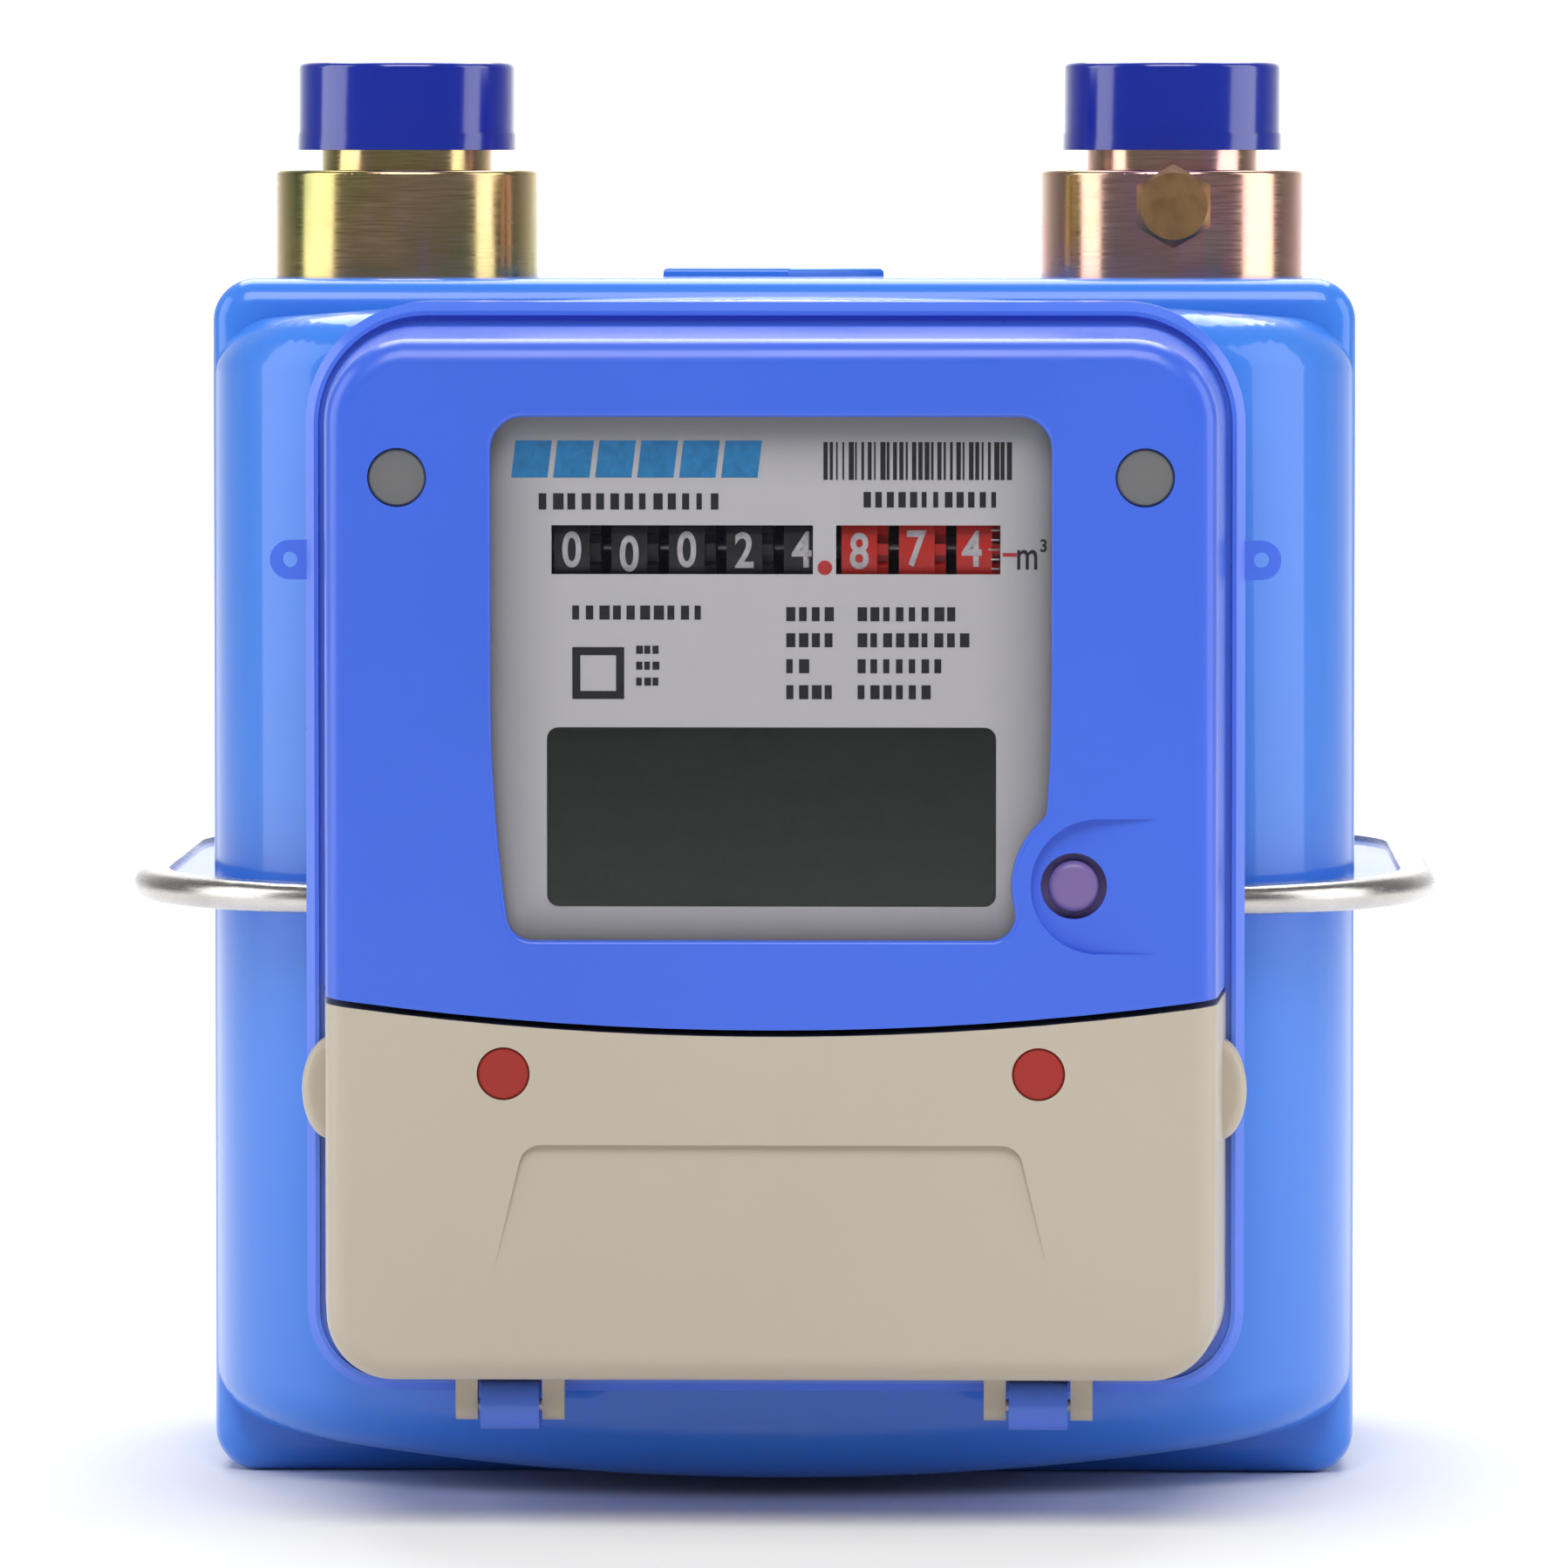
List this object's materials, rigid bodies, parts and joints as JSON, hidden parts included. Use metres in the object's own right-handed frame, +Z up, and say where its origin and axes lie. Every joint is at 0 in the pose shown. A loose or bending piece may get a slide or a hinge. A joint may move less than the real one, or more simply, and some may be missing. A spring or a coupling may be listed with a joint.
{
  "type": "gas meter",
  "caption": "Diaphragm gas meter: two-shell steel case with clamp band, two capped threaded connections, counter window, display, button and a hinged battery door.",
  "frame": {"origin": "centre of the flat bottom of the case, midway between the two connections and in their common plane", "axes": "+Z up along the connections, +X to the right seen from the front, +Y to the back"},
  "size_m": [0.184, 0.1955, 0.1993],
  "materials": {
    "case_paint": "gloss",
    "stainless": "rolled satin",
    "gasket_rubber": "matte",
    "chromated_steel": "yellow zinc chromate",
    "cap_plastic": "gloss",
    "plug_brass": "dull",
    "washer_metal": "satin",
    "housing_plastic": "fine satin",
    "window_clear": "clear moulded",
    "label": "printed",
    "display": "dark green glass",
    "board": "solder mask",
    "button_purple": "satin",
    "spring_steel": "bright",
    "screw_zinc": "zinc plated",
    "plug_grey": "matte",
    "plug_red": "matte",
    "door_beige": "fine satin",
    "holder_black": "matte",
    "cell_jacket": "printed jacket",
    "contact_nickel": "nickel",
    "frame_white": "moulded",
    "drum_black": "satin",
    "drum_red": "satin",
    "shaft_steel": "ground",
    "gland_brass": "turned",
    "worm_plastic": "acetal",
    "unit_plastic": "moulded",
    "valve_resin": "lapped resin",
    "diaphragm_fabric": "rubberised cloth",
    "plate_tin": "tinned"
  },
  "bodies": {
    "meter": {"battery_cells": "cell_jacket", "battery_contacts": "contact_nickel", "battery_holder": "holder_black", "button_spring": "spring_steel", "chamber_body": "unit_plastic", "chamber_covers": "unit_plastic", "circuit_board": "board", "clamp_band": "stainless", "connection_seals": "gasket_rubber", "counter_frame": "frame_white", "cover_screws": "screw_zinc", "cover_seal_plugs": "plug_grey", "crank_bracket": "unit_plastic", "diaphragms": "diaphragm_fabric", "distributor": "unit_plastic", "flange_gasket": "gasket_rubber", "front_cover": "housing_plastic", "index_gland": "gland_brass", "index_tray": "housing_plastic", "inlet_connection": "chromated_steel", "label_plate": "label", "lcd_module": "display", "lower_case": "case_paint", "outlet_connection": "chromated_steel", "outlet_duct": "unit_plastic", "seat_nuts": "screw_zinc", "test_plug": "plug_brass", "test_plug_washer": "washer_metal", "transfer_pinions": "frame_white", "tray_screws": "screw_zinc", "upper_case": "case_paint", "valve_grids": "valve_resin", "window": "window_clear"},
    "door": {"battery_door": "door_beige", "hinge_pins": "spring_steel", "door_screws": "screw_zinc", "door_seal_plugs": "plug_red"},
    "button": {"push_button": "button_purple"},
    "inlet_cap": {"inlet_cap": "cap_plastic"},
    "outlet_cap": {"outlet_cap": "cap_plastic"},
    "front_flag": {"front_flag": "shaft_steel"},
    "rear_flag": {"rear_flag": "shaft_steel"},
    "front_link": {"front_tangent_link": "worm_plastic"},
    "rear_link": {"rear_tangent_link": "worm_plastic"},
    "front_plate": {"front_diaphragm_plate": "plate_tin"},
    "rear_plate": {"rear_diaphragm_plate": "plate_tin"},
    "front_valve": {"front_slide_valve": "valve_resin"},
    "rear_valve": {"rear_slide_valve": "valve_resin"},
    "crank": {"crank_shaft": "shaft_steel"},
    "index_drive": {"index_drive_shaft": "shaft_steel", "index_worm": "worm_plastic"},
    "drum_ten_thousands": {"drum_ten_thousands": "drum_black"},
    "drum_thousands": {"drum_thousands": "drum_black"},
    "drum_hundreds": {"drum_hundreds": "drum_black"},
    "drum_tens": {"drum_tens": "drum_black"},
    "drum_units": {"drum_units": "drum_black"},
    "drum_tenths": {"drum_tenths": "drum_red"},
    "drum_hundredths": {"drum_hundredths": "drum_red"},
    "drum_thousandths": {"drum_thousandths": "drum_red", "counter_shaft": "shaft_steel"}
  },
  "joints": [
    {"name": "door_hinge", "type": "hinge", "parent": "meter", "child": "door", "pos_m": [0, -0.092, 0.0156], "axis": [1, 0, 0], "range_deg": [0, 110]},
    {"name": "button_press", "type": "slide", "parent": "meter", "child": "button", "axis": [0, 1, 0], "range_m": [0, 0.0012], "stiffness_N_per_m": 600, "springref_m": -0.0008, "deforming": ["button_spring"]},
    {"name": "inlet_cap_lift", "type": "slide", "parent": "meter", "child": "inlet_cap", "axis": [0, 0, 1], "range_m": [0, 0.04]},
    {"name": "outlet_cap_lift", "type": "slide", "parent": "meter", "child": "outlet_cap", "axis": [0, 0, 1], "range_m": [0, 0.04]},
    {"name": "crank_turn", "type": "hinge", "parent": "meter", "child": "crank", "pos_m": [-0.028, 0, 0.105], "axis": [0, 0, 1], "continuous": true},
    {"name": "index_drive_turn", "type": "hinge", "parent": "meter", "child": "index_drive", "pos_m": [-0.036, -0.04, 0.1223], "axis": [0, -1, 0], "continuous": true},
    {"name": "drum_ten_thousands_turn", "type": "hinge", "parent": "meter", "child": "drum_ten_thousands", "pos_m": [0, -0.0965, 0.1329], "axis": [1, 0, 0], "continuous": true},
    {"name": "drum_thousands_turn", "type": "hinge", "parent": "meter", "child": "drum_thousands", "pos_m": [0, -0.0965, 0.1329], "axis": [1, 0, 0], "continuous": true},
    {"name": "drum_hundreds_turn", "type": "hinge", "parent": "meter", "child": "drum_hundreds", "pos_m": [0, -0.0965, 0.1329], "axis": [1, 0, 0], "continuous": true},
    {"name": "drum_tens_turn", "type": "hinge", "parent": "meter", "child": "drum_tens", "pos_m": [0, -0.0965, 0.1329], "axis": [1, 0, 0], "continuous": true},
    {"name": "drum_units_turn", "type": "hinge", "parent": "meter", "child": "drum_units", "pos_m": [0, -0.0965, 0.1329], "axis": [1, 0, 0], "continuous": true},
    {"name": "drum_tenths_turn", "type": "hinge", "parent": "meter", "child": "drum_tenths", "pos_m": [0, -0.0965, 0.1329], "axis": [1, 0, 0], "continuous": true},
    {"name": "drum_hundredths_turn", "type": "hinge", "parent": "meter", "child": "drum_hundredths", "pos_m": [0, -0.0965, 0.1329], "axis": [1, 0, 0], "continuous": true},
    {"name": "drum_thousandths_turn", "type": "hinge", "parent": "meter", "child": "drum_thousandths", "pos_m": [0, -0.0965, 0.1329], "axis": [1, 0, 0], "continuous": true},
    {"name": "front_flag_swing", "type": "hinge", "parent": "meter", "child": "front_flag", "pos_m": [-0.05, -0.012, 0.06], "axis": [0, 0, 1], "range_deg": [-12, 12]},
    {"name": "front_link_swing", "type": "hinge", "parent": "front_flag", "child": "front_link", "pos_m": [-0.032, -0.014, 0.101], "axis": [0, 0, 1], "range_deg": [-12, 12]},
    {"name": "front_plate_travel", "type": "slide", "parent": "meter", "child": "front_plate", "axis": [0, 1, 0], "range_m": [-0.008, 0.008], "deforming": ["diaphragms"]},
    {"name": "front_valve_travel", "type": "slide", "parent": "meter", "child": "front_valve", "axis": [1, 0, 0], "range_m": [-0.004, 0.004]},
    {"name": "rear_flag_swing", "type": "hinge", "parent": "meter", "child": "rear_flag", "pos_m": [-0.05, 0.012, 0.06], "axis": [0, 0, 1], "range_deg": [-12, 12]},
    {"name": "rear_link_swing", "type": "hinge", "parent": "rear_flag", "child": "rear_link", "pos_m": [-0.032, 0.014, 0.101], "axis": [0, 0, 1], "range_deg": [-12, 12]},
    {"name": "rear_plate_travel", "type": "slide", "parent": "meter", "child": "rear_plate", "axis": [0, 1, 0], "range_m": [-0.008, 0.008]},
    {"name": "rear_valve_travel", "type": "slide", "parent": "meter", "child": "rear_valve", "axis": [1, 0, 0], "range_m": [-0.004, 0.004]}
  ],
  "couplings": [
    {"joint": "index_drive_turn", "follows": "crank_turn", "ratio": 0.2},
    {"joint": "drum_ten_thousands_turn", "follows": "crank_turn", "ratio": 0.000000008},
    {"joint": "drum_thousands_turn", "follows": "crank_turn", "ratio": 0.00000008},
    {"joint": "drum_hundreds_turn", "follows": "crank_turn", "ratio": 0.0000008},
    {"joint": "drum_tens_turn", "follows": "crank_turn", "ratio": 0.000008},
    {"joint": "drum_units_turn", "follows": "crank_turn", "ratio": 0.00008},
    {"joint": "drum_tenths_turn", "follows": "crank_turn", "ratio": 0.0008},
    {"joint": "drum_hundredths_turn", "follows": "crank_turn", "ratio": 0.008},
    {"joint": "drum_thousandths_turn", "follows": "crank_turn", "ratio": 0.08},
    {"joint": "front_link_swing", "follows": "front_flag_swing", "ratio": -1},
    {"joint": "front_plate_travel", "follows": "front_flag_swing", "m_per_rad": 0.038149},
    {"joint": "front_valve_travel", "follows": "rear_flag_swing", "m_per_rad": 0.019051},
    {"joint": "rear_link_swing", "follows": "rear_flag_swing", "ratio": -1},
    {"joint": "rear_plate_travel", "follows": "rear_flag_swing", "m_per_rad": 0.038149},
    {"joint": "rear_valve_travel", "follows": "front_flag_swing", "m_per_rad": 0.019051}
  ]
}
